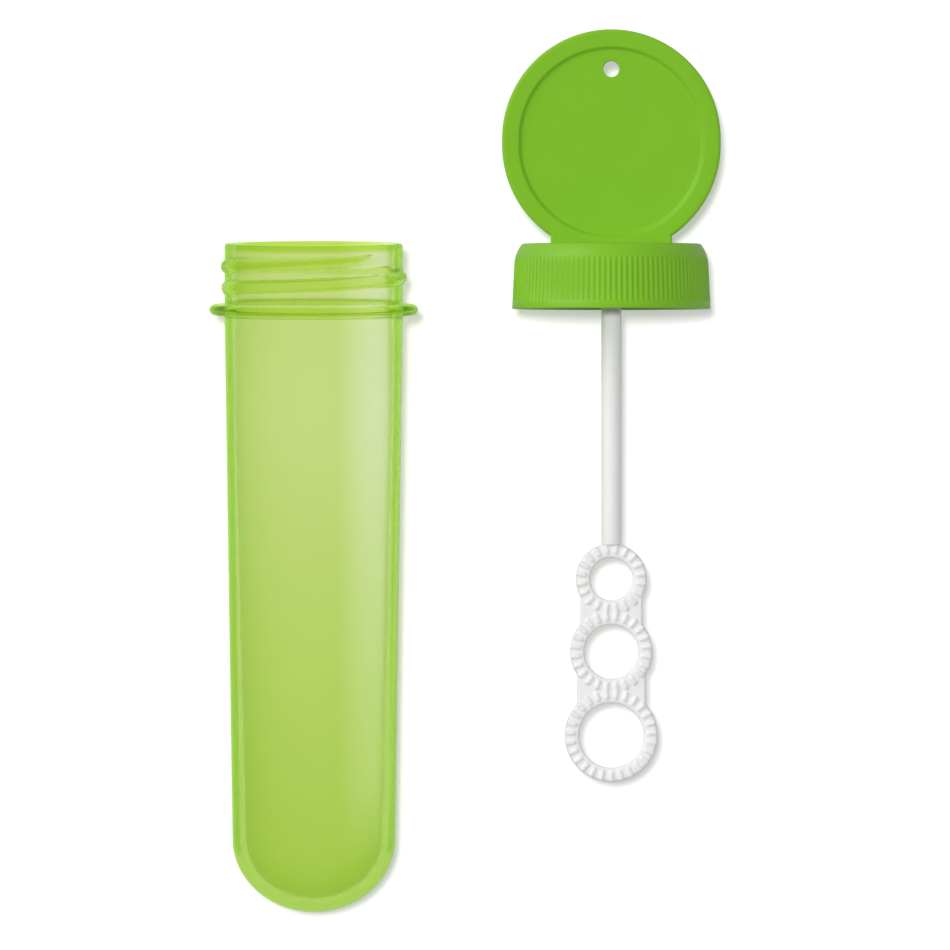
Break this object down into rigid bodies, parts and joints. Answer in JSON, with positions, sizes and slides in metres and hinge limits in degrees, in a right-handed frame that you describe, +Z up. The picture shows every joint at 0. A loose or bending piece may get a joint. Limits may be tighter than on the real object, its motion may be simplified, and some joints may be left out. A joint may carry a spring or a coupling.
{
  "type": "bubble wand",
  "caption": "Bubble wand set: round-ended screw-neck tube lying beside its fluted cap, whose disc tab has a lanyard hole and whose stick carries ribbed loops.",
  "frame": {"origin": "on the table, under the middle of the box round the lying tube and cap set", "axes": "+Z up from the table, +Y along the cap's axis from the wand's tip to the disc, +X from the tube to the cap set"},
  "size_m": [0.0768, 0.1324, 0.0313],
  "materials": {
    "clear_green_plastic": "translucent, smooth",
    "green_plastic": "satin",
    "white_foam": "closed-cell foam",
    "white_plastic": "satin"
  },
  "bodies": {
    "tube": {"tube": "clear_green_plastic"},
    "cap_set": {"cap": "green_plastic", "cap_liner": "white_foam", "wand": "white_plastic"}
  },
  "joints": [
    {"name": "wand_draw", "type": "slide", "parent": "tube", "child": "cap_set", "axis": [0, 1, 0], "range_m": [0, 0.085]}
  ]
}
